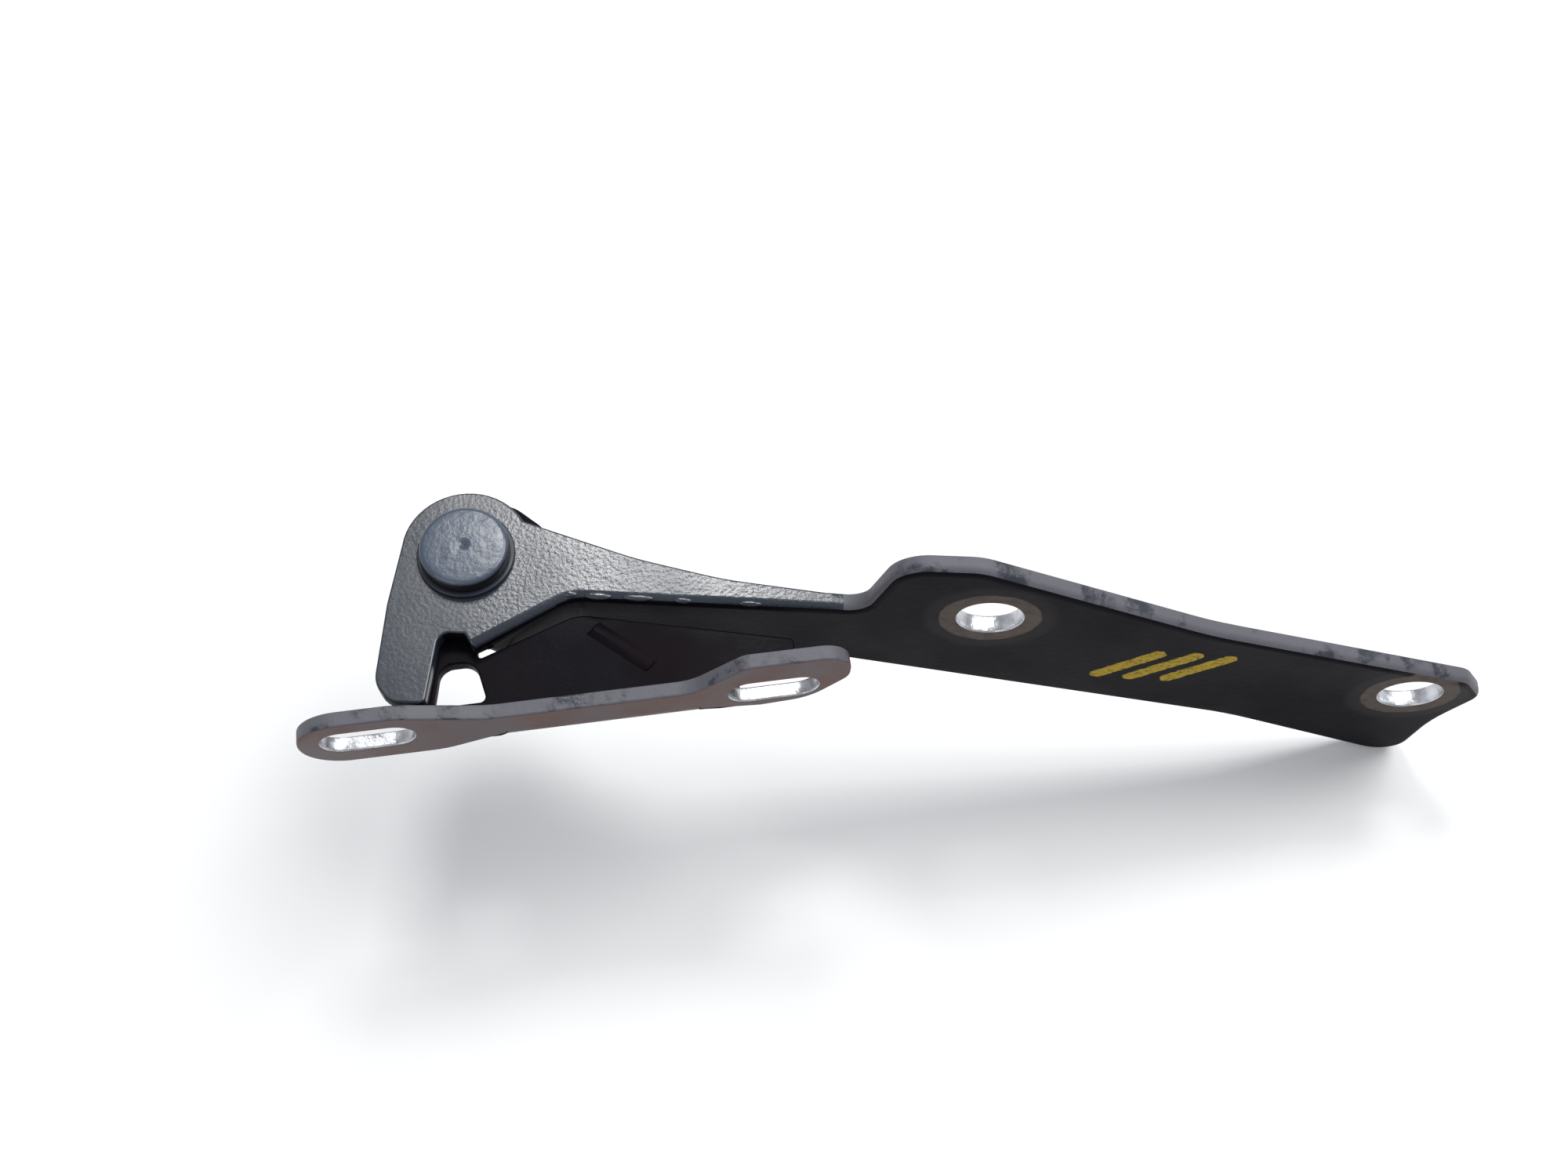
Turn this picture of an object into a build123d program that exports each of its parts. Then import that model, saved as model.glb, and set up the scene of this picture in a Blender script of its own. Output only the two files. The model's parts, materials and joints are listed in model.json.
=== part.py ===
from build123d import *
import os

# Bonnet hinge: a cranked bracket that bolts to the body, an arm that bolts under
# the bonnet, and one riveted pivot with a flanged bush and a spacing washer.
#
# Frame: the origin is midway between the two body bolt slots, on the face that
# lies on the body.  X runs along the bracket flange, Y points from that face
# towards the pivot, Z runs along the pivot axis towards the rivet head.
# All sizes are millimetres.

# Body bracket, flange
BRACKET_THICKNESS = 2.5
SLOT_SPACING = 64.0
SLOT_WIDTH = 7.0
SLOT_LENGTH = 14.5
LEFT_EAR_REACH = 10.8
RIGHT_EAR_REACH = 12.2
LEFT_EAR_NEAR_Z = 6.9
LEFT_EAR_FAR_Z = -7.8
LEFT_EAR_RADIUS = 7.2
LEFT_EAR_TAPER_START_X = -21.0
LEFT_EAR_TAPER_END_X = -11.0
RIGHT_EAR_TAPER_END_X = 20.0
EAR_TAPER_END_DEPTH = 0.9
FLANGE_MIDDLE_NEAR_Z = 2.4
RIGHT_EAR_NEAR_Z = 9.7
RIGHT_EAR_FAR_Z = -5.8

# Body bracket, web
BRACKET_BEND_RADIUS = 1.5
WEB_LEFT = -26.1
WEB_RIGHT = 27.0
TONGUE_RIGHT = 37.0
TONGUE_TOP_BELOW_PIVOT = 20.5
TONGUE_HEIGHT = 2.3
WEB_HUMP_X = 2.0
WEB_HUMP_BELOW_PIVOT = 11.5
WEB_HUMP_RADIUS = 7.0
WEB_NECK_BELOW_PIVOT = 17.5
BRACKET_BOSS_RADIUS = 11.0
SHOULDER_TOP_X = 7.6
SHOULDER_LOW_X = 13.2
SHOULDER_LOW_Y = 5.3
NECK_RIGHT_X = 0.3
NECK_TOP_BELOW_PIVOT = 10.7
ARCH_WIDTH = 8.6
ARCH_BELOW_PIVOT = 17.9
ARCH_FOOT_ABOVE_BEND = 2.2
ARCH_CENTRE_X = -18.1
BEAD_WIDTH = 3.0
BEAD_HEIGHT = 0.4
BEAD_LENGTH = 12.0
BEAD_X = 8.8
BEAD_BELOW_PIVOT = 18.4
BEAD_ANGLE = -42.0

# Where the pivot stands on the bracket
PIVOT_X = -15.1
PIVOT_Y = 31.3
ARM_FACE_Z = -1.2

# Bonnet arm
ARM_THICKNESS = 3.2
ARM_REST_ANGLE = -10.5
ARM_BOSS_RADIUS = 10.6
ARM_BOSS_CENTRE = (-0.3, 1.3)
ARM_FLANGE_DROP = 6.9
ARM_BEND_OUTER = 1.6
RAMP_START = (3.2, -16.8)
RAMP_END_X = 17.8
RAMP_BLEND = 8.0
LEG_LEFT = -11.8
LEG_RIGHT_TOP = -2.7
LEG_RIGHT_FOOT = -3.3
LEG_FOOT_CLEARANCE = 2.0
LEG_CORNER_RADIUS = 5.0
NOTCH_TOP_Y = -14.3
WEB_TAIL_X = 60.0
NEAR_EDGE_STRAIGHT_X = 61.0
ARM_LENGTH = 180.0
BONNET_HOLE_DIAMETER = 11.0
BONNET_HOLE_FRONT = (87.3, -0.4)
BONNET_HOLE_REAR = (ARM_LENGTH - 13.3, -23.5)

# Pivot
BUSH_WALL = 1.0
BUSH_FLANGE_WIDTH = 2.6
BUSH_RIM_ROUND = 0.3
BUSH_FLANGE_THICKNESS = 0.7
RUNNING_CLEARANCE = 0.05
SPACER_THICKNESS = 0.45
SPACER_RING_WIDTH = 3.5
SPACER_BORE_CLEARANCE = 0.1
RIVET_SHANK_RADIUS = 4.5
RIVET_HEAD_OVERHANG = 2.9
RIVET_HEAD_HEIGHT = 2.9
RIVET_HEAD_ROUND = 1.0
RIVET_TAIL_OVERHANG = 2.1
RIVET_TAIL_HEIGHT = 2.0
RIVET_TAIL_ROUND = 0.9
DIMPLE_RADIUS = 0.7
DIMPLE_DEPTH = 0.35

# Ends of the bracket flange, and round sizes that follow the rivet shank
FLANGE_LEFT = -SLOT_SPACING / 2 - LEFT_EAR_REACH
FLANGE_RIGHT = SLOT_SPACING / 2 + RIGHT_EAR_REACH
BUSH_OUTER_RADIUS = RIVET_SHANK_RADIUS + BUSH_WALL
BUSH_FLANGE_RADIUS = BUSH_OUTER_RADIUS + BUSH_FLANGE_WIDTH
SPACER_RADIUS = BUSH_OUTER_RADIUS + SPACER_RING_WIDTH
RIVET_HEAD_RADIUS = RIVET_SHANK_RADIUS + RIVET_HEAD_OVERHANG
RIVET_TAIL_RADIUS = RIVET_SHANK_RADIUS + RIVET_TAIL_OVERHANG

# Levels of the pivot stack, from the arm's outer face down
ARM_BACK_Z = ARM_FACE_Z - ARM_THICKNESS
BRACKET_FRONT_Z = ARM_BACK_Z - SPACER_THICKNESS - RUNNING_CLEARANCE
BRACKET_BACK_Z = BRACKET_FRONT_Z - BRACKET_THICKNESS
BUSH_FLANGE_Z = ARM_FACE_Z + RUNNING_CLEARANCE
RIVET_SEAT_Z = BUSH_FLANGE_Z + BUSH_FLANGE_THICKNESS


def rounded_outline(corners):
    """Closed face from corners (u, v, radius); a radius of zero stays sharp."""
    face = make_face(Polyline(*[(u, v) for u, v, _ in corners], close=True))
    for u, v, radius in corners:
        if radius > 0:
            corner = face.vertices().sort_by_distance((u, v, 0))[0]
            face = fillet(corner, radius)
    return face


def plan_plate(corners, y_low, y_high):
    """Plate whose outline is drawn in X and Z, filling y_low to y_high."""
    face = rounded_outline([(u, -v, radius) for u, v, radius in corners])
    plate = extrude(face, y_high - y_low)
    return Pos(0, y_low, 0) * (Rot(-90, 0, 0) * plate)


def front_plate(corners, z_low, z_high):
    """Plate whose outline is drawn in X and Y, filling z_low to z_high."""
    return Pos(0, 0, z_low) * extrude(rounded_outline(corners), z_high - z_low)


def slot_cutter(x, length, width, depth):
    """Obround cutter through a flange lying in the X-Z plane."""
    face = SlotOverall(length, width)
    return Pos(x, -depth, 0) * (Rot(-90, 0, 0) * extrude(face, 3 * depth))


def bracket_flange():
    bend_z = BRACKET_BACK_Z + BRACKET_BEND_RADIUS + BRACKET_THICKNESS
    corners = [
        (FLANGE_LEFT, LEFT_EAR_FAR_Z, LEFT_EAR_RADIUS),
        (FLANGE_LEFT, LEFT_EAR_NEAR_Z, LEFT_EAR_RADIUS),
        (FLANGE_LEFT + 15.7, LEFT_EAR_NEAR_Z, 10.0),
        (FLANGE_LEFT + 29.6, FLANGE_MIDDLE_NEAR_Z, 14.0),
        (FLANGE_RIGHT - 25.3, FLANGE_MIDDLE_NEAR_Z, 6.0),
        (FLANGE_RIGHT - 17.0, RIGHT_EAR_NEAR_Z, 2.5),
        (FLANGE_RIGHT, RIGHT_EAR_NEAR_Z, 5.0),
        (FLANGE_RIGHT, 1.8, 3.5),
        (FLANGE_RIGHT - 6.2, -5.0, 8.0),
        (FLANGE_RIGHT - 14.2, RIGHT_EAR_FAR_Z, 0.0),
        (RIGHT_EAR_TAPER_END_X, bend_z - EAR_TAPER_END_DEPTH, 0.0),
        (RIGHT_EAR_TAPER_END_X, bend_z, 0.0),
        (LEFT_EAR_TAPER_END_X, bend_z, 0.0),
        (LEFT_EAR_TAPER_END_X, bend_z - EAR_TAPER_END_DEPTH, 0.0),
        (LEFT_EAR_TAPER_START_X, LEFT_EAR_FAR_Z, 12.0),
    ]
    plate = plan_plate(corners, 0, BRACKET_THICKNESS)
    for side in (-1, 1):
        plate -= slot_cutter(side * SLOT_SPACING / 2, SLOT_LENGTH, SLOT_WIDTH, BRACKET_THICKNESS)
    return plate


def bracket_bend():
    """Quarter-round bend between the flange and the web."""
    outer = BRACKET_BEND_RADIUS + BRACKET_THICKNESS
    ring = Cylinder(outer, WEB_RIGHT - WEB_LEFT) - Cylinder(BRACKET_BEND_RADIUS, WEB_RIGHT - WEB_LEFT)
    ring = Rot(0, 90, 0) * ring
    quarter = Pos(0, -outer / 2, -outer / 2) * Box(WEB_RIGHT - WEB_LEFT, outer, outer)
    middle = (WEB_LEFT + WEB_RIGHT) / 2
    return Pos(middle, outer, BRACKET_BACK_Z + outer) * (ring & quarter)


def bracket_web():
    """Upright web: pivot boss with a stop shoulder, neck, and the long lower part."""
    bend_top = BRACKET_BEND_RADIUS + BRACKET_THICKNESS
    boss_top = PIVOT_Y + BRACKET_BOSS_RADIUS
    tongue_top = PIVOT_Y - TONGUE_TOP_BELOW_PIVOT
    corners = [
        (WEB_LEFT, bend_top, 0.0),
        (WEB_RIGHT, bend_top, 0.0),
        (WEB_RIGHT, tongue_top - TONGUE_HEIGHT, 1.5),
        (TONGUE_RIGHT, tongue_top - TONGUE_HEIGHT, 1.0),
        (TONGUE_RIGHT, tongue_top, 1.0),
        (WEB_HUMP_X, PIVOT_Y - WEB_HUMP_BELOW_PIVOT, WEB_HUMP_RADIUS),
        (PIVOT_X + NECK_RIGHT_X, PIVOT_Y - WEB_NECK_BELOW_PIVOT, 0.6),
        (PIVOT_X + NECK_RIGHT_X, PIVOT_Y - NECK_TOP_BELOW_PIVOT, 2.0),
        (PIVOT_X + 9.6, PIVOT_Y - 5.9, 3.0),
        (PIVOT_X + SHOULDER_LOW_X, PIVOT_Y + SHOULDER_LOW_Y, 2.5),
        (PIVOT_X + SHOULDER_TOP_X, boss_top, 6.0),
        (WEB_LEFT, boss_top, BRACKET_BOSS_RADIUS - 0.1),
    ]
    return front_plate(corners, BRACKET_BACK_Z, BRACKET_FRONT_Z)


def bracket_arch():
    """Arched relief opening through the web below the neck."""
    foot_y = BRACKET_THICKNESS + BRACKET_BEND_RADIUS + ARCH_FOOT_ABOVE_BEND
    top_y = PIVOT_Y - ARCH_BELOW_PIVOT
    half_foot = ARCH_WIDTH / 2
    half_top = 0.33 * ARCH_WIDTH
    corners = [
        (ARCH_CENTRE_X - half_foot, foot_y, 1.0),
        (ARCH_CENTRE_X + half_foot, foot_y, 1.0),
        (ARCH_CENTRE_X + half_top, top_y, 2.6),
        (ARCH_CENTRE_X - half_top, top_y, 2.6),
    ]
    return front_plate(corners, BRACKET_BACK_Z - 1, BRACKET_FRONT_Z + 1)


def bracket_bead():
    """Low pressed bead running down the lower part of the web."""
    radius = (BEAD_WIDTH ** 2 / 4 + BEAD_HEIGHT ** 2) / (2 * BEAD_HEIGHT)
    bar = Rot(0, 90, 0) * Cylinder(radius, BEAD_LENGTH)
    bar = Pos(0, 0, BEAD_HEIGHT - radius) * bar
    bar &= Pos(0, 0, BEAD_HEIGHT / 2) * Box(BEAD_LENGTH, BEAD_WIDTH, BEAD_HEIGHT)
    return Pos(BEAD_X, PIVOT_Y - BEAD_BELOW_PIVOT, BRACKET_FRONT_Z) * (Rot(0, 0, BEAD_ANGLE) * bar)


def make_body_bracket():
    solid = bracket_flange() + bracket_bend() + bracket_web()
    solid -= bracket_arch()
    solid += bracket_bead()
    shank = Cylinder(RIVET_SHANK_RADIUS, 3 * BRACKET_THICKNESS)
    return solid - Pos(PIVOT_X, PIVOT_Y, BRACKET_BACK_Z) * shank


def arm_web():
    """Web of the arm with its pivot boss, stop leg and relief notch."""
    underside = -ARM_FLANGE_DROP
    foot = BRACKET_THICKNESS + LEG_FOOT_CLEARANCE - PIVOT_Y
    boss_x, boss_y = ARM_BOSS_CENTRE
    corners = [
        (RAMP_START[0], RAMP_START[1], 0.0),
        (2.4, NOTCH_TOP_Y, 1.4),
        (LEG_RIGHT_TOP, NOTCH_TOP_Y, 2.0),
        (LEG_RIGHT_FOOT, foot, 1.0),
        (LEG_LEFT, foot, LEG_CORNER_RADIUS),
        (LEG_LEFT, -9.6, 12.0),
        (boss_x - ARM_BOSS_RADIUS, boss_y, 0.0),
        (boss_x, boss_y, 0.0),
        (8.6, 7.0, 0.0),
        (28.0, 1.0, 60.0),
        (43.0, -2.1, 60.0),
        (WEB_TAIL_X, underside + ARM_THICKNESS, 0.0),
        (WEB_TAIL_X, underside, 0.0),
        (RAMP_END_X, underside, RAMP_BLEND),
    ]
    web = front_plate(corners, -ARM_THICKNESS, 0)
    boss = Pos(boss_x, boss_y, -ARM_THICKNESS / 2) * Cylinder(ARM_BOSS_RADIUS, ARM_THICKNESS)
    return web + boss


def arm_ribbon():
    """Flange sheet seen from the side: a short ramp, then straight to the end."""
    underside = -ARM_FLANGE_DROP
    x0, y0 = RAMP_START
    run = RAMP_END_X - x0
    rise = underside - y0
    length = (run ** 2 + rise ** 2) ** 0.5
    tilt_x = ARM_THICKNESS * rise / length
    tilt_y = ARM_THICKNESS * run / length
    upper_x = RAMP_END_X - ARM_THICKNESS * (length - run) / rise
    corners = [
        (x0, y0, 0.0),
        (RAMP_END_X, underside, RAMP_BLEND),
        (ARM_LENGTH + 5, underside, 0.0),
        (ARM_LENGTH + 5, underside + ARM_THICKNESS, 0.0),
        (upper_x, underside + ARM_THICKNESS, RAMP_BLEND + ARM_THICKNESS),
        (x0 - tilt_x, y0 + tilt_y, 0.0),
    ]
    return front_plate(corners, -70, 30)


def arm_plan():
    """Outline of the flange seen from below, cut through the ribbon."""
    corners = [
        (-5.0, 0.0, 0.0),
        (NEAR_EDGE_STRAIGHT_X, 0.0, 0.0),
        (66.2, -0.4, 4.0),
        (70.8, 15.0, 7.0),
        (84.0, 15.3, 9.0),
        (0.7 * ARM_LENGTH, -3.6, 60.0),
        (ARM_LENGTH - 4.7, -17.8, 4.5),
        (ARM_LENGTH - 0.1, -23.8, 3.0),
        (ARM_LENGTH - 4.0, -35.5, 30.0),
        (ARM_LENGTH - 4.6, -51.2, 5.0),
        (ARM_LENGTH - 11.4, -50.8, 8.0),
        (ARM_LENGTH - 43.5, -37.0, 60.0),
        (65.8, -20.4, 90.0),
        (32.0, -12.1, 30.0),
        (22.0, -9.6, 12.0),
        (5.4, -8.8, 3.0),
        (3.4, -ARM_THICKNESS, 0.0),
        (-5.0, -ARM_THICKNESS, 0.0),
    ]
    return plan_plate(corners, -20, 20)


def arm_holes():
    cutter = Rot(90, 0, 0) * Cylinder(BONNET_HOLE_DIAMETER / 2, 40)
    holes = [Pos(x, 0, z) * cutter for x, z in (BONNET_HOLE_FRONT, BONNET_HOLE_REAR)]
    return holes[0] + holes[1]


def round_arm_bend(solid):
    """Round the outer corner where the web folds into the flange."""
    near = solid.edges().filter_by_position(Axis.Z, -0.01, 0.01)
    low = near.filter_by_position(Axis.X, RAMP_START[0] - 0.01, NEAR_EDGE_STRAIGHT_X + 0.01)
    low = low.filter_by_position(Axis.Y, RAMP_START[1] - 0.01, -ARM_FLANGE_DROP + 0.01)
    return fillet(low, min(ARM_BEND_OUTER, ARM_THICKNESS / 2))


def make_bonnet_arm():
    solid = round_arm_bend(arm_web() + (arm_ribbon() & arm_plan()))
    solid -= arm_holes()
    bore = Cylinder(BUSH_OUTER_RADIUS + RUNNING_CLEARANCE, 5 * ARM_THICKNESS)
    solid -= bore
    return Pos(PIVOT_X, PIVOT_Y, ARM_FACE_Z) * (Rot(0, 0, ARM_REST_ANGLE) * solid)


def disc(radius, z_low, z_high):
    height = z_high - z_low
    return Pos(PIVOT_X, PIVOT_Y, z_low + height / 2) * Cylinder(radius, height)


def make_pivot_bush():
    sleeve = disc(BUSH_OUTER_RADIUS, BRACKET_FRONT_Z, RIVET_SEAT_Z)
    flange = disc(BUSH_FLANGE_RADIUS, BUSH_FLANGE_Z, RIVET_SEAT_Z)
    rim = flange.edges().group_by(Axis.Z)[-1]
    flange = fillet(rim, BUSH_RIM_ROUND)
    return sleeve + flange - disc(RIVET_SHANK_RADIUS, BRACKET_FRONT_Z - 1, RIVET_SEAT_Z + 1)


def make_spacer_washer():
    ring = disc(SPACER_RADIUS, BRACKET_FRONT_Z, BRACKET_FRONT_Z + SPACER_THICKNESS)
    bore = BUSH_OUTER_RADIUS + SPACER_BORE_CLEARANCE
    return ring - disc(bore, BRACKET_FRONT_Z - 1, BRACKET_FRONT_Z + 1)


def make_pivot_rivet():
    head = disc(RIVET_HEAD_RADIUS, RIVET_SEAT_Z, RIVET_SEAT_Z + RIVET_HEAD_HEIGHT)
    head = fillet(head.edges().group_by(Axis.Z)[-1], RIVET_HEAD_ROUND)
    tail = disc(RIVET_TAIL_RADIUS, BRACKET_BACK_Z - RIVET_TAIL_HEIGHT, BRACKET_BACK_Z)
    tail = fillet(tail.edges().group_by(Axis.Z)[0], RIVET_TAIL_ROUND)
    shank = disc(RIVET_SHANK_RADIUS, BRACKET_BACK_Z, RIVET_SEAT_Z)
    top = RIVET_SEAT_Z + RIVET_HEAD_HEIGHT
    dimple = Pos(PIVOT_X, PIVOT_Y, top - DIMPLE_DEPTH / 2) * Cone(0.1, DIMPLE_RADIUS, DIMPLE_DEPTH)
    return head + shank + tail - dimple


def main():
    os.makedirs("parts", exist_ok=True)
    export_step(make_body_bracket(), "parts/body_bracket.step")
    export_step(make_bonnet_arm(), "parts/bonnet_arm.step")
    export_step(make_pivot_bush(), "parts/pivot_bush.step")
    export_step(make_spacer_washer(), "parts/spacer_washer.step")
    export_step(make_pivot_rivet(), "parts/pivot_rivet.step")


if __name__ == "__main__":
    main()
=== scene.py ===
import json
import math

import bmesh
import bpy
from bpy.props import FloatProperty, FloatVectorProperty, IntProperty, PointerProperty
from bpy.types import Operator, Panel, PropertyGroup
from mathutils import Matrix, Vector
from mathutils.bvhtree import BVHTree


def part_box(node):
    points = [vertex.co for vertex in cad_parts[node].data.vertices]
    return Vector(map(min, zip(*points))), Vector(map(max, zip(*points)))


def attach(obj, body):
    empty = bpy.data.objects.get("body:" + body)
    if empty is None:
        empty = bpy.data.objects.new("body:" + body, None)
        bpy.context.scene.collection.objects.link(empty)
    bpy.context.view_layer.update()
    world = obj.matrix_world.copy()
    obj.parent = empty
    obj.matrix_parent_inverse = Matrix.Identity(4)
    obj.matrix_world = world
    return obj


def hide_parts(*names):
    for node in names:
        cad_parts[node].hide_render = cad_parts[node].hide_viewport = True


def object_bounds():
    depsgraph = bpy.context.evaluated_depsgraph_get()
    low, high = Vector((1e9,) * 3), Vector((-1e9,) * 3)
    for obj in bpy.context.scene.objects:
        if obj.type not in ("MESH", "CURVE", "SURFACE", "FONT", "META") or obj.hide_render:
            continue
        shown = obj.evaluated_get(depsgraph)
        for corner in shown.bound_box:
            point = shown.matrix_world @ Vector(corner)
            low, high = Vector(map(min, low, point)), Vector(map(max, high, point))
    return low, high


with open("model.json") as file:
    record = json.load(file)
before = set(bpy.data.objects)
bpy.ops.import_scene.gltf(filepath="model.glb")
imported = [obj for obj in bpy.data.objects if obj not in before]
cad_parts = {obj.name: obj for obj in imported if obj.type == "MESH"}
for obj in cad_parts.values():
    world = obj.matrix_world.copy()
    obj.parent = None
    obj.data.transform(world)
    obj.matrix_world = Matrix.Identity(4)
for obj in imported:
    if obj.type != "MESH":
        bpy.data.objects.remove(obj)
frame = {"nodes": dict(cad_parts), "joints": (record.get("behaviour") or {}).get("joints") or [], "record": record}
CAD_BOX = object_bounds()

bl_info = {
    "name": "Bonnet hinge",
    "version": (1, 0, 0),
    "blender": (4, 5, 0),
    "location": "View3D > Sidebar > Hinge",
    "description": "Builds the painted finish of a riveted bonnet hinge around its frame",
    "category": "Object",
}

MM = 0.001

# Places taken from the frame: the pivot axis and the arm's own directions.
RECORD = frame["record"]
JOINT = frame["joints"][0]
PIVOT = Vector(JOINT["pos_m"])
MOUNTS = {mount["name"]: mount for mount in RECORD["mounts"]}
FRONT_HOLE = Vector(MOUNTS["bonnet_bolt_front"]["pos_m"])
REAR_HOLE = Vector(MOUNTS["bonnet_bolt_rear"]["pos_m"])
ARM_UP = Vector(MOUNTS["bonnet_bolt_front"]["axis"])
ARM_ALONG = ARM_UP.cross(Vector((0, 0, 1)))
WEB_FACE = -1.2 * MM
RUN_STANDOFF = 0.28 * MM
# Paint runs in mm: along the arm, below the pivot line, length, breadth.
RUNS = (
    (17.8, 6.1, 2.4, 1.3),
    (22.4, 6.2, 4.6, 1.5),
    (29.0, 6.2, 5.2, 1.3),
    (36.4, 6.3, 3.0, 1.1),
    (47.5, 6.3, 4.0, 1.0),
)
HEAD_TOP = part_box("pivot_rivet")[1].z
SLOT_HALF_SPACING = MOUNTS["body_bolts"]["dims"]["spacing_x_mm"] * MM / 2

# How far from a hole's axis, or a slot's middle, a face still counts as its wall.
BOLT_WALL_REACH = 5.9 * MM
SLOT_WALL_REACH_X = 7.6 * MM
SLOT_WALL_REACH_Z = 3.9 * MM
BRACKET_FLANGE_TOP = 3.2 * MM

# Turned pieces of the pivot.
HEAD_ROUND = 1.0 * MM
SHANK_RADIUS = 4.5 * MM
TAIL_RADIUS = 6.6 * MM
TAIL_DEPTH = 2.0 * MM
TAIL_ROUND = 0.9 * MM
BUSH_BORE_RADIUS = 4.55 * MM
BUSH_SLEEVE_RADIUS = 5.5 * MM
BUSH_RIM_DEPTH = 0.7 * MM
BUSH_RIM_ROUND = 0.3 * MM
WASHER_BORE_RADIUS = 5.6 * MM
SMALL_BREAK = 0.2 * MM

# Plate edges sharper than this are rounded, and faces this near a flat side stay flat.
SHARP_EDGE = math.radians(35)
FLAT_ENOUGH = 0.9998

# Camera place and directions.
CAMERA_PLACE = (10.18 * MM, -95.22 * MM, 231.43 * MM)
CAMERA_RIGHT = Vector((0.9882, -0.1483, 0.0390))
CAMERA_UP = Vector((0.1155, 0.8869, 0.4472))


# ---------------------------------------------------------------- settings


def length(name, text, default):
    return FloatProperty(name=name, description=text, default=default, unit="LENGTH", precision=5)


def colour(name, text, default):
    return FloatVectorProperty(
        name=name, description=text, default=default, size=3, subtype="COLOR", min=0, max=1
    )


class HingeSizes(PropertyGroup):
    edge_round: length("Edge rounding", "Radius of the painted plate edges", 0.35 * MM)
    head_dome: length("Head dome", "How far the rivet head's face swells in the middle", 0.12 * MM)
    dimple: length("Centre dimple", "Radius of the punched dimple in the rivet head", 0.45 * MM)
    seat_outer: length("Seat ring outer", "Outer radius of the worn washer seat", 8.7 * MM)
    peel_size: FloatProperty(
        name="Orange peel", description="Orange peel waves per metre", default=1500.0, min=1.0
    )
    peel_height: length("Orange peel height", "Height of the orange peel", 0.060 * MM)
    plain_reach: length(
        "Plain edge reach", "Distance from the pivot where the worn flange edge starts", 62.0 * MM
    )
    run_height: length("Paint run height", "How far the paint runs stand off the fold", 0.35 * MM)
    edge_segments: IntProperty(
        name="Edge segments", description="Facets round each plate edge", default=3, min=1
    )


class HingeColours(PropertyGroup):
    paint: colour("Paint", "Gloss blue-black paint", (0.012, 0.017, 0.026))
    # Painted shade: near-black for faces turned away from the light, used under the arm's flange, on the bracket
    # web and on the rivet's side wall.
    shade_black: colour("Underside", "Thin dull paint under the flange", (0.0030, 0.0026, 0.0045))
    # Painted reflection: brown-mauve standing in for the brown ground reflected in the bracket flange.
    bracket: colour("Bracket", "Thin worn primer on the bracket", (0.062, 0.043, 0.046))
    edge: colour("Worn edge", "Lilac grey bloom on the cut edges", (0.100, 0.098, 0.116))
    rust: colour("Rust", "Surface rust", (0.16, 0.075, 0.040))
    bare: colour("Bare zinc", "Bare plating in the bolt holes", (0.72, 0.73, 0.76))
    seat: colour("Washer seat", "Paint rubbed by a bolt head", (0.13, 0.105, 0.092))
    marker: colour("Marker", "Yellow paint marker", (0.40, 0.28, 0.035))


# ---------------------------------------------------------------- node helpers


def add_node(tree, kind, place=(0, 0), **settings):
    node = tree.nodes.new(kind)
    node.location = place
    for key, value in settings.items():
        setattr(node, key, value)
    return node


def feed(tree, node, socket, value):
    """Puts a number, colour or another node's output into a socket."""
    target = node.inputs[socket]
    if isinstance(value, bpy.types.NodeSocket):
        tree.links.new(value, target)
    else:
        target.default_value = value


def maths(tree, operation, a, b=0.0, c=0.0, clamp=False):
    node = add_node(tree, "ShaderNodeMath", operation=operation, use_clamp=clamp)
    for index, value in enumerate((a, b, c)):
        feed(tree, node, index, value)
    return node.outputs[0]


def vectors(tree, operation, a, b=(0, 0, 0), scale=1.0):
    node = add_node(tree, "ShaderNodeVectorMath", operation=operation)
    feed(tree, node, 0, a)
    feed(tree, node, 1, b)
    if operation == "SCALE":
        feed(tree, node, "Scale", scale)
    return node.outputs["Value" if operation in {"LENGTH", "DOT_PRODUCT"} else "Vector"]


def noise(tree, place, scale, detail=2.0, rough=0.5, offset=(0, 0, 0)):
    node = add_node(tree, "ShaderNodeTexNoise")
    feed(tree, node, "Vector", vectors(tree, "ADD", place, offset))
    feed(tree, node, "Scale", scale)
    feed(tree, node, "Detail", detail)
    feed(tree, node, "Roughness", rough)
    return node.outputs["Fac"]


def step(tree, value, low, high, to_low=0.0, to_high=1.0):
    """Smooth step from low to high."""
    node = add_node(tree, "ShaderNodeMapRange", interpolation_type="SMOOTHSTEP")
    sockets = ("Value", "From Min", "From Max", "To Min", "To Max")
    for socket, number in zip(sockets, (value, low, high, to_low, to_high)):
        feed(tree, node, socket, number)
    return node.outputs["Result"]


def blend_colours(tree, mask, a, b):
    node = add_node(tree, "ShaderNodeMix", data_type="RGBA", blend_type="MIX")
    feed(tree, node, "Factor", mask)
    for socket, value in ((6, a), (7, b)):
        if not isinstance(value, bpy.types.NodeSocket):
            value = (*value[:3], 1.0)
        feed(tree, node, socket, value)
    return node.outputs[2]


def object_place(tree):
    return add_node(tree, "ShaderNodeTexCoord").outputs["Object"]


def new_group(name, inputs, outputs):
    group = bpy.data.node_groups.new(name, "ShaderNodeTree")
    for socket_name, kind, default in inputs:
        socket = group.interface.new_socket(socket_name, in_out="INPUT", socket_type=kind)
        if default is not None:
            socket.default_value = default
    for socket_name, kind in outputs:
        group.interface.new_socket(socket_name, in_out="OUTPUT", socket_type=kind)
    start = add_node(group, "NodeGroupInput", (-800, 0))
    end = add_node(group, "NodeGroupOutput", (800, 0))
    return group, start, end


def place_group(tree, group, **values):
    node = add_node(tree, "ShaderNodeGroup")
    node.node_tree = group
    for key, value in values.items():
        feed(tree, node, key.replace("_", " "), value)
    return node


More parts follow.
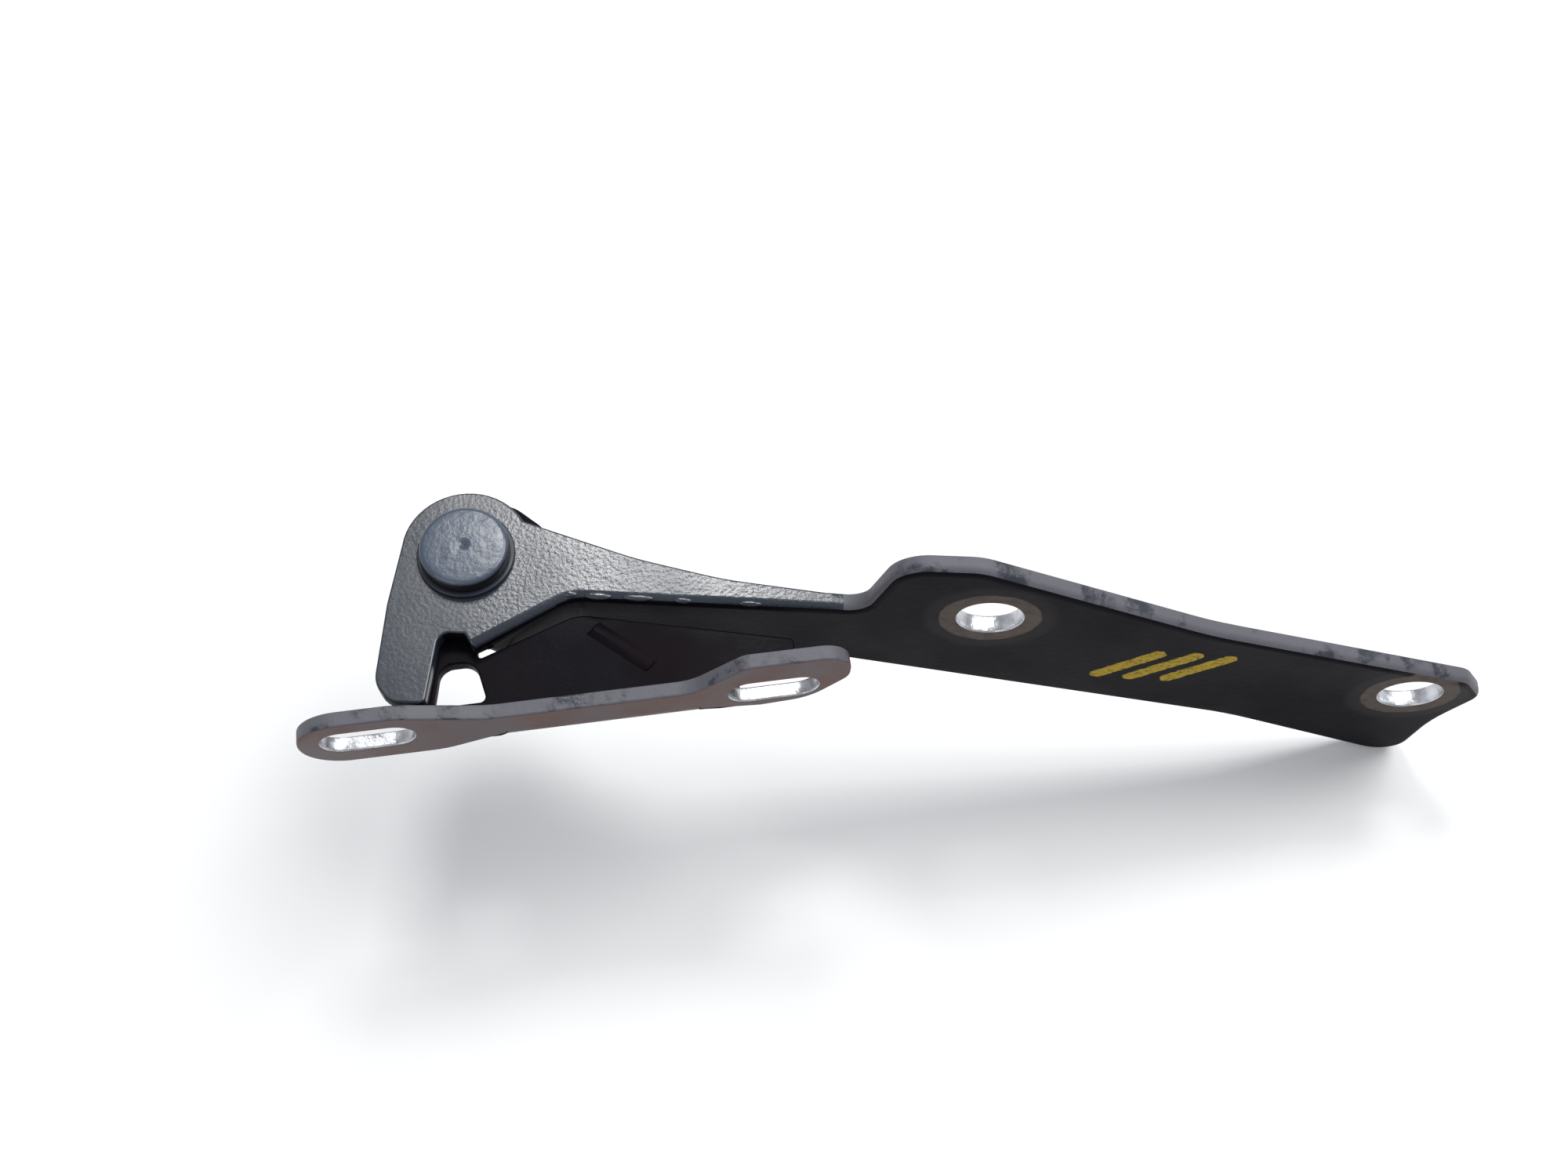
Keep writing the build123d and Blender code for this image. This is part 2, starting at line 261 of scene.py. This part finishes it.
def seat_ring_group():
    """Mask of a worn ring round a bolt hole, plus a fainter, wider rubbed ring."""
    name = "worn_seat_ring"
    if name in bpy.data.node_groups:
        return bpy.data.node_groups[name]
    group, start, end = new_group(
        name,
        [
            ("Centre", "NodeSocketVector", None),
            ("Axis", "NodeSocketVector", None),
            ("Outer", "NodeSocketFloat", 8.7 * MM),
        ],
        [("Ring", "NodeSocketFloat"), ("Halo", "NodeSocketFloat")],
    )
    place = object_place(group)
    offset = vectors(group, "SUBTRACT", place, start.outputs["Centre"])
    along = vectors(group, "DOT_PRODUCT", offset, start.outputs["Axis"])
    lengthwise = vectors(group, "SCALE", start.outputs["Axis"], scale=along)
    across = vectors(group, "SUBTRACT", offset, lengthwise)
    distance = vectors(group, "LENGTH", across)
    wobble = maths(group, "SUBTRACT", noise(group, place, 260.0, 3.0), 0.5)
    wobble = maths(group, "MULTIPLY", wobble, 0.9 * MM)
    distance = maths(group, "ADD", distance, wobble)
    outer = start.outputs["Outer"]
    ring = step(group, distance, outer, maths(group, "ADD", outer, -0.45 * MM))
    patchy = step(group, noise(group, place, 500.0, 4.0, 0.6), 0.30, 0.62, 0.72, 1.0)
    group.links.new(maths(group, "MULTIPLY", ring, patchy), end.inputs["Ring"])
    halo_out = maths(group, "ADD", outer, 3.2 * MM)
    halo = step(group, distance, halo_out, maths(group, "ADD", outer, 1.0 * MM))
    group.links.new(maths(group, "SUBTRACT", halo, ring, clamp=True), end.inputs["Halo"])
    return group


def arm_reach(tree, place):
    """Distance along the arm from the pivot axis."""
    return vectors(tree, "DOT_PRODUCT", vectors(tree, "SUBTRACT", place, PIVOT), ARM_ALONG)


def peel_group():
    """Height of fine orange peel with slow waves under it, fuller past the pivot boss."""
    name = "orange_peel"
    if name in bpy.data.node_groups:
        return bpy.data.node_groups[name]
    group, start, end = new_group(
        name,
        [("Waves", "NodeSocketFloat", 900.0), ("Swell", "NodeSocketFloat", 0.5)],
        [("Height", "NodeSocketFloat"), ("Patch", "NodeSocketFloat")],
    )
    place = object_place(group)
    fine = noise(group, place, start.outputs["Waves"], 2.0, 0.5)
    fullness = step(group, arm_reach(group, place), -2.0 * MM, 12.0 * MM, 0.35, 1.0)
    fine = maths(group, "MULTIPLY", fine, fullness)
    slow = noise(group, place, 110.0, 2.0, 0.5, (0.3, 0.1, 0.7))
    height = maths(group, "ADD", fine, maths(group, "MULTIPLY", slow, start.outputs["Swell"]))
    group.links.new(height, end.inputs["Height"])
    group.links.new(noise(group, place, 45.0, 3.0, 0.55, (0.9, 0.4, 0.2)), end.inputs["Patch"])
    return group


def rust_group():
    """Mask of rust freckles and a wider brown stain."""
    name = "rust_freckles"
    if name in bpy.data.node_groups:
        return bpy.data.node_groups[name]
    group, start, end = new_group(
        name,
        [("Amount", "NodeSocketFloat", 0.3)],
        [("Specks", "NodeSocketFloat"), ("Stain", "NodeSocketFloat")],
    )
    place = object_place(group)
    broad = noise(group, place, 55.0, 3.0, 0.6, (0.2, 0.8, 0.5))
    fine = noise(group, place, 1500.0, 2.0, 0.6)
    threshold = maths(group, "SUBTRACT", 0.78, maths(group, "MULTIPLY", start.outputs["Amount"], 0.28))
    half_broad, half_fine = (maths(group, "MULTIPLY", part, 0.5) for part in (broad, fine))
    both = maths(group, "ADD", half_broad, half_fine)
    specks = step(group, both, threshold, maths(group, "ADD", threshold, 0.06))
    group.links.new(specks, end.inputs["Specks"])
    group.links.new(step(group, broad, 0.42, 0.68), end.inputs["Stain"])
    return group


def stroke_group():
    """Mask of one straight paint-marker stroke between two points."""
    name = "marker_stroke"
    if name in bpy.data.node_groups:
        return bpy.data.node_groups[name]
    group, start, end = new_group(
        name,
        [
            ("From", "NodeSocketVector", None),
            ("Reach", "NodeSocketVector", None),
            ("Width", "NodeSocketFloat", 1.2 * MM),
        ],
        [("Mask", "NodeSocketFloat")],
    )
    place = object_place(group)
    offset = vectors(group, "SUBTRACT", place, start.outputs["From"])
    reach = start.outputs["Reach"]
    square = vectors(group, "DOT_PRODUCT", reach, reach)
    share = maths(group, "DIVIDE", vectors(group, "DOT_PRODUCT", offset, reach), square, clamp=True)
    covered = vectors(group, "SCALE", reach, scale=share)
    gap = vectors(group, "LENGTH", vectors(group, "SUBTRACT", offset, covered))
    ragged = maths(group, "SUBTRACT", noise(group, place, 900.0, 3.0, 0.6), 0.5)
    ragged = maths(group, "MULTIPLY", ragged, 0.9 * MM)
    gap = maths(group, "ADD", gap, ragged)
    width = start.outputs["Width"]
    solid = step(group, gap, width, maths(group, "SUBTRACT", width, 0.25 * MM))
    streak = step(group, noise(group, place, 1400.0, 2.0, 0.5, (0.5, 0, 0)), 0.30, 0.55, 0.45, 1.0)
    group.links.new(maths(group, "MULTIPLY", solid, streak), end.inputs["Mask"])
    return group


# ---------------------------------------------------------------- materials


def half_sheet(mount):
    """Half the sheet's thickness at a bolt hole."""
    return MOUNTS[mount]["dims"]["length_mm"] * MM / 2


def new_material(name):
    material = bpy.data.materials.new(name)
    material.use_nodes = True
    tree = material.node_tree
    shader = tree.nodes["Principled BSDF"]
    return material, tree, shader


def bump(tree, shader, height, distance):
    node = add_node(tree, "ShaderNodeBump")
    node.inputs["Strength"].default_value = 1.0
    node.inputs["Distance"].default_value = distance
    tree.links.new(height, node.inputs["Height"])
    tree.links.new(node.outputs["Normal"], shader.inputs["Normal"])


def gloss_paint(sizes, colours):
    """Thick gloss black with orange peel, for the arm's web and edges."""
    material, tree, shader = new_material("gloss_black_paint")
    peel = place_group(tree, peel_group(), Waves=sizes.peel_size, Swell=0.9)
    place = object_place(tree)
    tone = blend_colours(tree, peel.outputs["Patch"], colours.paint, [c * 1.5 for c in colours.paint])
    scuff = noise(tree, place, 700.0, 5.0, 0.7, (0.1, 0.6, 0.3))
    scuff = step(tree, scuff, 0.64, 0.72, 0.0, 0.35)
    tone = blend_colours(tree, scuff, tone, colours.edge)
    feed(tree, shader, "Base Color", tone)
    rough = step(tree, peel.outputs["Patch"], 0.3, 0.7, 0.22, 0.30)
    feed(tree, shader, "Roughness", maths(tree, "ADD", rough, maths(tree, "MULTIPLY", scuff, 0.4)))
    shader.inputs["Specular IOR Level"].default_value = 0.7
    bump(tree, shader, peel.outputs["Height"], sizes.peel_height)
    return material


def underside_shade_and_marks(sizes, colours):
    """Duller near-black under the arm's flange, the near-black being painted shade, with worn seats, rust specks
    and marker strokes.
    """
    material, tree, shader = new_material("underside_shade_and_wear")
    peel = place_group(tree, peel_group(), Waves=sizes.peel_size * 0.5, Swell=2.0)
    rust = place_group(tree, rust_group(), Amount=0.16)
    # Painted shade: the near-black base darkens the flange's downward faces; the patches only vary its tone at
    # random.
    tone = blend_colours(tree, peel.outputs["Patch"], colours.shade_black, [c * 2.0 for c in colours.shade_black])
    wear = []
    for hole in (FRONT_HOLE, REAR_HOLE):
        ring = place_group(tree, seat_ring_group(), Centre=hole, Axis=ARM_UP, Outer=sizes.seat_outer)
        tone = blend_colours(tree, maths(tree, "MULTIPLY", ring.outputs["Halo"], 0.10), tone, colours.seat)
        tone = blend_colours(tree, maths(tree, "MULTIPLY", ring.outputs["Ring"], 0.8), tone, colours.seat)
        wear.append(ring.outputs["Ring"])
    tone = blend_colours(tree, rust.outputs["Specks"], tone, colours.rust)
    mark = None
    middle = FRONT_HOLE.lerp(REAR_HOLE, 0.42) - ARM_UP * half_sheet("bonnet_bolt_front")
    middle -= Vector((0, 0, 5.0 * MM))
    for along, across, run, rise in ((-11.0, -5.5, 8.5, 9.0), (-5.0, -6.0, 9.0, 9.5), (1.5, -6.0, 8.5, 9.0)):
        begin = middle + ARM_ALONG * along * MM + Vector((0, 0, across * MM))
        reach = ARM_ALONG * run * MM + Vector((0, 0, rise * MM))
        stroke = place_group(tree, stroke_group(), From=begin, Reach=reach, Width=1.5 * MM).outputs["Mask"]
        mark = stroke if mark is None else maths(tree, "MAXIMUM", mark, stroke)
    tone = blend_colours(tree, mark, tone, colours.marker)
    feed(tree, shader, "Base Color", tone)
    rough = step(tree, peel.outputs["Patch"], 0.3, 0.7, 0.42, 0.56)
    worn = maths(tree, "MAXIMUM", wear[0], wear[1])
    rough = maths(tree, "ADD", rough, maths(tree, "MULTIPLY", maths(tree, "MAXIMUM", worn, mark), 0.2))
    feed(tree, shader, "Roughness", rough)
    shader.inputs["Specular IOR Level"].default_value = 0.05
    bump(tree, shader, peel.outputs["Height"], sizes.peel_height * 0.6)
    return material


def worn_edge(sizes, colours, name, base, amount):
    """Lilac grey bloom with dark blotches and rust freckles, on the cut edges."""
    material, tree, shader = new_material(name)
    peel = place_group(tree, peel_group(), Waves=sizes.peel_size * 0.5, Swell=1.2)
    rust = place_group(tree, rust_group(), Amount=amount)
    place = object_place(tree)
    blotch = step(tree, noise(tree, place, 190.0, 4.0, 0.62, (0.4, 0.2, 0.9)), 0.50, 0.66)
    tone = blend_colours(tree, peel.outputs["Patch"], [c * 0.8 for c in base], [c * 1.25 for c in base])
    tone = blend_colours(tree, maths(tree, "MULTIPLY", blotch, 0.8), tone, colours.paint)
    tone = blend_colours(tree, rust.outputs["Specks"], tone, colours.rust)
    feed(tree, shader, "Base Color", tone)
    feed(tree, shader, "Roughness", step(tree, blotch, 0.0, 1.0, 0.55, 0.34))
    shader.inputs["Specular IOR Level"].default_value = 0.35
    bump(tree, shader, maths(tree, "ADD", peel.outputs["Height"], blotch), sizes.peel_height * 1.5)
    return material


def bracket_paint(sizes, colours, name, base, level, amount):
    """Paint on a given base colour with brown rust staining and specks, for the bracket and the bush; the bracket
    web's base is painted shade and the flange's base is painted reflection of the ground.
    """
    material, tree, shader = new_material(name)
    peel = place_group(tree, peel_group(), Waves=sizes.peel_size * 0.9, Swell=1.4)
    rust = place_group(tree, rust_group(), Amount=amount)
    tone = blend_colours(tree, peel.outputs["Patch"], base, [c * 1.6 for c in base])
    tone = blend_colours(tree, maths(tree, "MULTIPLY", rust.outputs["Stain"], amount), tone, colours.rust)
    tone = blend_colours(tree, maths(tree, "MULTIPLY", rust.outputs["Specks"], 0.8), tone, colours.rust)
    feed(tree, shader, "Base Color", tone)
    rough = step(tree, peel.outputs["Patch"], 0.3, 0.7, 0.30, 0.46)
    stained = maths(tree, "MULTIPLY", rust.outputs["Stain"], 0.15)
    feed(tree, shader, "Roughness", maths(tree, "ADD", rough, stained))
    shader.inputs["Specular IOR Level"].default_value = level
    bump(tree, shader, peel.outputs["Height"], sizes.peel_height * 0.5)
    return material


def bare_metal(colours):
    """Bright zinc left in the bolt holes, with tool marks across the wall."""
    material, tree, shader = new_material("bare_zinc")
    place = object_place(tree)
    cloud = noise(tree, place, 420.0, 4.0, 0.6)
    grain = noise(tree, place, 2600.0, 2.0, 0.6)
    tone = blend_colours(tree, step(tree, cloud, 0.32, 0.72), [c * 0.62 for c in colours.bare], colours.bare)
    feed(tree, shader, "Base Color", tone)
    feed(tree, shader, "Metallic", step(tree, cloud, 0.2, 0.6, 0.75, 1.0))
    feed(tree, shader, "Roughness", step(tree, cloud, 0.3, 0.7, 0.22, 0.42))
    bump(tree, shader, maths(tree, "ADD", cloud, maths(tree, "MULTIPLY", grain, 0.4)), 0.08 * MM)
    return material


def rivet_paint(sizes, colours):
    """Satin black over the forged head, with faint turned rings round the centre and painted shade on the side
    wall.
    """
    material, tree, shader = new_material("rivet_paint")
    place = object_place(tree)
    cast = noise(tree, place, sizes.peel_size * 0.42, 3.0, 0.55, (0.7, 0.3, 0.1))
    patch = noise(tree, place, 160.0, 3.0, 0.55)
    flat = vectors(tree, "MULTIPLY", vectors(tree, "SUBTRACT", place, PIVOT), (1, 1, 0))
    radius = vectors(tree, "LENGTH", flat)
    ring = maths(tree, "SINE", maths(tree, "MULTIPLY", radius, 2 * math.pi / (1.9 * MM)))
    fade = step(tree, radius, 3.2 * MM, 1.2 * MM)
    rings = maths(tree, "MULTIPLY", maths(tree, "MULTIPLY", ring, fade), 0.12)
    base = [c * 3.0 for c in colours.paint]
    # Painted shade: below the face the side wall takes the near-black shade colour; the face keeps the rivet's own
    # satin tone.
    lit_face = step(tree, vectors(tree, "DOT_PRODUCT", place, (0, 0, 1)), HEAD_TOP - 0.9 * MM, HEAD_TOP - 0.3 * MM)
    tone = blend_colours(tree, patch, base, [c * 1.3 for c in base])
    tone = blend_colours(tree, lit_face, colours.shade_black, tone)
    feed(tree, shader, "Base Color", tone)
    feed(tree, shader, "Roughness", step(tree, patch, 0.3, 0.7, 0.27, 0.36))
    shader.inputs["Specular IOR Level"].default_value = 0.7
    bump(tree, shader, maths(tree, "ADD", maths(tree, "MULTIPLY", cast, 1.8), rings), sizes.peel_height)
    return material


# ---------------------------------------------------------------- meshes


def object_from(mesh_tool, name, materials):
    mesh = bpy.data.meshes.new(name)
    mesh_tool.to_mesh(mesh)
    mesh_tool.free()
    piece = bpy.data.objects.new(name, mesh)
    bpy.context.scene.collection.objects.link(piece)
    for material in materials:
        mesh.materials.append(material)
    return piece


def softened_copy(node, width, segments):
    """Copy of a plate with its long sharp edges rounded as thick paint leaves them."""
    tool = bmesh.new()
    tool.from_mesh(frame["nodes"][node].data)
    bmesh.ops.remove_doubles(tool, verts=tool.verts, dist=0.002 * MM)
    bmesh.ops.dissolve_limit(tool, angle_limit=math.radians(0.6), verts=tool.verts, edges=tool.edges)
    bmesh.ops.recalc_face_normals(tool, faces=tool.faces)
    plate = BVHTree.FromBMesh(tool)
    sharp = [e for e in tool.edges if len(e.link_faces) == 2 and e.calc_face_angle() > SHARP_EDGE]
    bmesh.ops.bevel(
        tool, geom=sharp, offset=width, offset_type="OFFSET", affect="EDGES", segments=segments,
        profile=0.5, material=-1, clamp_overlap=False, loop_slide=True,
    )
    for vert in tool.verts:
        nearest, _, _, gap = plate.find_nearest(vert.co)
        if gap > 0.5 * width:
            vert.co = nearest
    bmesh.ops.remove_doubles(tool, verts=tool.verts, dist=0.004 * MM)
    for face in tool.faces:
        normal = face.normal
        face.smooth = max(abs(normal.z), abs(normal.y), abs(normal.dot(ARM_UP))) < FLAT_ENOUGH
    return tool


def lathe(profile, name, materials, steps=96):
    """Solid turned about the pivot axis from (radius, height) points in metres."""
    tool = bmesh.new()
    ring = [tool.verts.new((PIVOT.x + r, PIVOT.y, z)) for r, z in profile]
    edges = [tool.edges.new((a, b)) for a, b in zip(ring, ring[1:])]
    bmesh.ops.spin(
        tool, geom=ring + edges, cent=(PIVOT.x, PIVOT.y, 0), axis=(0, 0, 1),
        angle=2 * math.pi, steps=steps, use_merge=True,
    )
    bmesh.ops.remove_doubles(tool, verts=tool.verts, dist=0.001 * MM)
    bmesh.ops.recalc_face_normals(tool, faces=tool.faces)
    for face in tool.faces:
        face.smooth = True
    return object_from(tool, name, materials)


def arc(centre_r, centre_z, radius, start, stop, count):
    """Points of a rounded corner in a turned profile; angles in degrees."""
    turns = [math.radians(start + (stop - start) * i / count) for i in range(count + 1)]
    return [(centre_r + radius * math.cos(t), centre_z + radius * math.sin(t)) for t in turns]


# ---------------------------------------------------------------- operators


class HINGE_OT_arm(Operator):
    """Build the painted bonnet arm"""

    bl_idname = "hinge.arm"
    bl_label = "Bonnet arm"

    def execute(self, context):
        sizes, colours = context.scene.hinge_sizes, context.scene.hinge_colours
        tool = softened_copy("bonnet_arm", sizes.edge_round, sizes.edge_segments)
        for face in tool.faces:
            face.material_index = arm_finish(face, sizes.plain_reach)
        gloss = gloss_paint(sizes, colours)
        edge = worn_edge(sizes, colours, "worn_arm_edge", colours.edge, 0.42)
        materials = [gloss, underside_shade_and_marks(sizes, colours), bare_metal(colours), edge]
        arm = object_from(tool, "painted_arm", materials)
        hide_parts("bonnet_arm")
        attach(arm, "arm")
        return {"FINISHED"}


def near_hole(point, hole, axis, radius):
    """True where a point is within a radius of a hole's axis."""
    offset = point - hole
    return (offset - axis * offset.dot(axis)).length < radius


def arm_finish(face, edge_start):
    """0 gloss, 1 underside, 2 bare bolt hole, 3 worn cut edge."""
    centre = face.calc_center_median()
    for hole in (FRONT_HOLE, REAR_HOLE):
        if near_hole(centre, hole, ARM_UP, BOLT_WALL_REACH) and abs(face.normal.dot(ARM_UP)) < 0.8:
            return 2
    if face.normal.dot(ARM_UP) < -0.75:
        return 1
    return 3 if (centre - PIVOT).dot(ARM_ALONG) > edge_start and face.normal.dot(ARM_UP) < 0.5 else 0


def fold_line(reach, drop):
    """Place on the near face of the fold, from its distance along and below the pivot."""
    return Vector((PIVOT.x, PIVOT.y, WEB_FACE - RUN_STANDOFF)) + ARM_ALONG * reach - ARM_UP * drop


class HINGE_OT_runs(Operator):
    """Build the glossy paint runs that hang over the fold"""

    bl_idname = "hinge.runs"
    bl_label = "Paint runs"

    def execute(self, context):
        sizes, colours = context.scene.hinge_sizes, context.scene.hinge_colours
        tool = bmesh.new()
        turn = Matrix((ARM_ALONG, ARM_UP, Vector((0, 0, 1)))).transposed().to_4x4()
        for reach, drop, run, breadth in RUNS:
            ball = bmesh.ops.create_uvsphere(tool, u_segments=24, v_segments=12, radius=1.0)
            verts = ball["verts"]
            bmesh.ops.scale(tool, verts=verts, vec=(run * MM / 2, breadth * MM / 2, sizes.run_height))
            place = fold_line(reach * MM, drop * MM)
            bmesh.ops.transform(tool, verts=verts, matrix=Matrix.Translation(place) @ turn)
        for face in tool.faces:
            face.smooth = True
        runs = object_from(tool, "paint_runs", [gloss_paint(sizes, colours)])
        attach(runs, "arm")
        return {"FINISHED"}


class HINGE_OT_bracket(Operator):
    """Build the worn body bracket"""

    bl_idname = "hinge.bracket"
    bl_label = "Body bracket"

    def execute(self, context):
        sizes, colours = context.scene.hinge_sizes, context.scene.hinge_colours
        tool = softened_copy("body_bracket", sizes.edge_round * 0.9, sizes.edge_segments)
        for face in tool.faces:
            face.material_index = bracket_finish(face)
        # Painted shade: the bracket web takes the near-black shade colour for the deep shade between the arm and
        # the bracket flange.
        web = bracket_paint(sizes, colours, "bracket_web_painted_shade", colours.shade_black, 0.04, 0.02)
        # Painted reflection: the flange's brown-mauve base stands in for the reflected ground; the stains and
        # specks on it are rust.
        flange = bracket_paint(sizes, colours, "bracket_flange_reflection_and_rust", colours.bracket, 0.3, 0.40)
        edge = worn_edge(sizes, colours, "worn_bracket_edge", [c * 0.95 for c in colours.edge], 0.12)
        bracket = object_from(tool, "painted_bracket", [web, flange, bare_metal(colours), edge])
        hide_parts("body_bracket")
        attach(bracket, "bracket")
        return {"FINISHED"}


def bracket_finish(face):
    """0 web, 1 flange, 2 bare slot wall, 3 cut edge of the flange."""
    centre = face.calc_center_median()
    for side in (-1, 1):
        offset = centre - Vector((side * SLOT_HALF_SPACING, 0, 0))
        inside = abs(offset.x) < SLOT_WALL_REACH_X and abs(offset.z) < SLOT_WALL_REACH_Z
        if inside and abs(face.normal.y) < 0.8:
            return 2
    if centre.y > BRACKET_FLANGE_TOP:
        return 0
    return 3 if face.normal.z > 0.5 else 1


class HINGE_OT_pivot(Operator):
    """Build the rivet, the bush rim and the spacing washer"""

    bl_idname = "hinge.pivot"
    bl_label = "Pivot"

    def execute(self, context):
        sizes, colours = context.scene.hinge_sizes, context.scene.hinge_colours
        paint = rivet_paint(sizes, colours)
        low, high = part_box("pivot_rivet")
        bush_low, bush_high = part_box("pivot_bush")
        head = (high.x - low.x) / 2
        seat = bush_high.z
        dome = sizes.head_dome
        dimple = sizes.dimple
        profile = [(0, high.z - 0.35 * MM), (dimple * 0.5, high.z - 0.24 * MM), (dimple, high.z)]
        flat = head - HEAD_ROUND
        for i in range(1, 7):
            r = dimple + (flat - dimple) * i / 6
            profile.append((r, high.z - dome * (r / flat) ** 2))
        profile += arc(flat, high.z - dome - HEAD_ROUND, HEAD_ROUND, 90, 0, 6)[1:]
        profile += [(head, seat + 0.25 * MM), (head - SMALL_BREAK, seat), (SHANK_RADIUS, seat)]
        back = low.z + TAIL_DEPTH
        profile += [(SHANK_RADIUS, back), (TAIL_RADIUS - SMALL_BREAK, back)]
        profile += [(TAIL_RADIUS, back - SMALL_BREAK)]
        profile += arc(TAIL_RADIUS - TAIL_ROUND, low.z + TAIL_ROUND, TAIL_ROUND, 0, -90, 5)
        profile += [(0, low.z)]
        rivet = lathe(profile, "pivot_rivet_head", [paint])
        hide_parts("pivot_rivet")
        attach(rivet, "bracket")
        rim = (bush_high.x - bush_low.x) / 2
        bush_paint = bracket_paint(sizes, colours, "bush_paint", colours.paint, 0.5, 0.0)
        under = seat - BUSH_RIM_DEPTH
        ring = [(BUSH_BORE_RADIUS, seat), (rim - BUSH_RIM_ROUND, seat)]
        ring += arc(rim - BUSH_RIM_ROUND, seat - BUSH_RIM_ROUND, BUSH_RIM_ROUND, 90, 0, 4)[1:]
        ring += [(rim, under), (BUSH_SLEEVE_RADIUS, under), (BUSH_SLEEVE_RADIUS, bush_low.z)]
        ring += [(BUSH_BORE_RADIUS, bush_low.z), (BUSH_BORE_RADIUS, seat)]
        bush = lathe(ring, "bush_rim", [bush_paint])
        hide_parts("pivot_bush")
        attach(bush, "bracket")
        washer_low, washer_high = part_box("spacer_washer")
        outer = (washer_high.x - washer_low.x) / 2
        inner = WASHER_BORE_RADIUS
        loop = [(inner, washer_high.z), (outer - 0.1 * MM, washer_high.z)]
        loop += [(outer, washer_high.z - 0.1 * MM), (outer, washer_low.z)]
        loop += [(inner, washer_low.z), (inner, washer_high.z)]
        washer = lathe(loop, "spacing_washer", [bare_metal(colours)])
        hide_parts("spacer_washer")
        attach(washer, "bracket")
        return {"FINISHED"}


def area_light(name, place, aim, size, power, size_y=None):
    data = bpy.data.lights.new(name, "AREA")
    data.energy = power
    data.size = size
    if size_y:
        data.shape = "RECTANGLE"
        data.size_y = size_y
    light = bpy.data.objects.new(name, data)
    light.location = place
    light.rotation_euler = (Vector(aim) - Vector(place)).to_track_quat("-Z", "Y").to_euler()
    bpy.context.scene.collection.objects.link(light)


class HINGE_OT_stage(Operator):
    """Set up the floor, the lights and the camera"""

    bl_idname = "hinge.stage"
    bl_label = "Stage"

    def execute(self, context):
        scene = context.scene
        low = Vector(CAD_BOX[0])
        tool = bmesh.new()
        bmesh.ops.create_grid(tool, x_segments=1, y_segments=1, size=3.0)
        bmesh.ops.translate(tool, verts=tool.verts, vec=(0, 0, low.z - 0.2 * MM))
        material, tree, shader = new_material("pale_floor")
        place = object_place(tree)
        tone = blend_colours(tree, noise(tree, place, 3.0, 2.0), (0.86, 0.86, 0.86), (0.89, 0.89, 0.89))
        feed(tree, shader, "Base Color", tone)
        shader.inputs["Roughness"].default_value = 0.9
        shader.inputs["Specular IOR Level"].default_value = 0.1
        object_from(tool, "floor", [material])
        world = bpy.data.worlds.new("studio")
        world.use_nodes = True
        background = world.node_tree.nodes["Background"]
        background.inputs["Color"].default_value = (0.92, 0.95, 1.0, 1)
        background.inputs["Strength"].default_value = 0.48
        scene.world = world
        area_light("window", (0.06, 0.55, 0.87), (0.02, 0.02, 0), 0.26, 3.6, size_y=0.22)
        area_light("key", (0.75, 0.35, 1.1), (0.05, 0, 0), 0.8, 13)
        area_light("fill", (-0.7, -0.5, 0.8), (0.05, 0, 0), 0.6, 2)
        camera_data = bpy.data.cameras.new("camera")
        camera_data.sensor_width = 36.0
        camera_data.lens = 36.0
        camera_data.clip_start = 0.01
        camera = bpy.data.objects.new("camera", camera_data)
        back = CAMERA_RIGHT.cross(CAMERA_UP)
        turn = Matrix((CAMERA_RIGHT, CAMERA_UP, back)).transposed().to_4x4()
        camera.matrix_world = Matrix.Translation(CAMERA_PLACE) @ turn
        scene.collection.objects.link(camera)
        scene.camera = camera
        scene.view_settings.view_transform = "Standard"
        return {"FINISHED"}


class HINGE_PT_panel(Panel):
    """Sizes, colours and build buttons of the hinge"""

    bl_label = "Bonnet hinge"
    bl_idname = "HINGE_PT_panel"
    bl_space_type = "VIEW_3D"
    bl_region_type = "UI"
    bl_category = "Hinge"

    def draw(self, context):
        for group in (context.scene.hinge_sizes, context.scene.hinge_colours):
            box = self.layout.box()
            for key in group.bl_rna.properties.keys():
                if key not in {"rna_type", "name"}:
                    box.prop(group, key)
        for operator in OPERATORS:
            self.layout.operator(operator.bl_idname)


OPERATORS = (HINGE_OT_arm, HINGE_OT_runs, HINGE_OT_bracket, HINGE_OT_pivot, HINGE_OT_stage)
CLASSES = (HingeSizes, HingeColours, *OPERATORS, HINGE_PT_panel)


def register():
    for item in CLASSES:
        bpy.utils.register_class(item)
    bpy.types.Scene.hinge_sizes = PointerProperty(type=HingeSizes)
    bpy.types.Scene.hinge_colours = PointerProperty(type=HingeColours)


def unregister():
    del bpy.types.Scene.hinge_colours
    del bpy.types.Scene.hinge_sizes
    for item in reversed(CLASSES):
        bpy.utils.unregister_class(item)


def main():
    register()
    bpy.ops.hinge.arm()
    bpy.ops.hinge.runs()
    bpy.ops.hinge.bracket()
    bpy.ops.hinge.pivot()
    bpy.ops.hinge.stage()


if __name__ == "__main__":
    main()
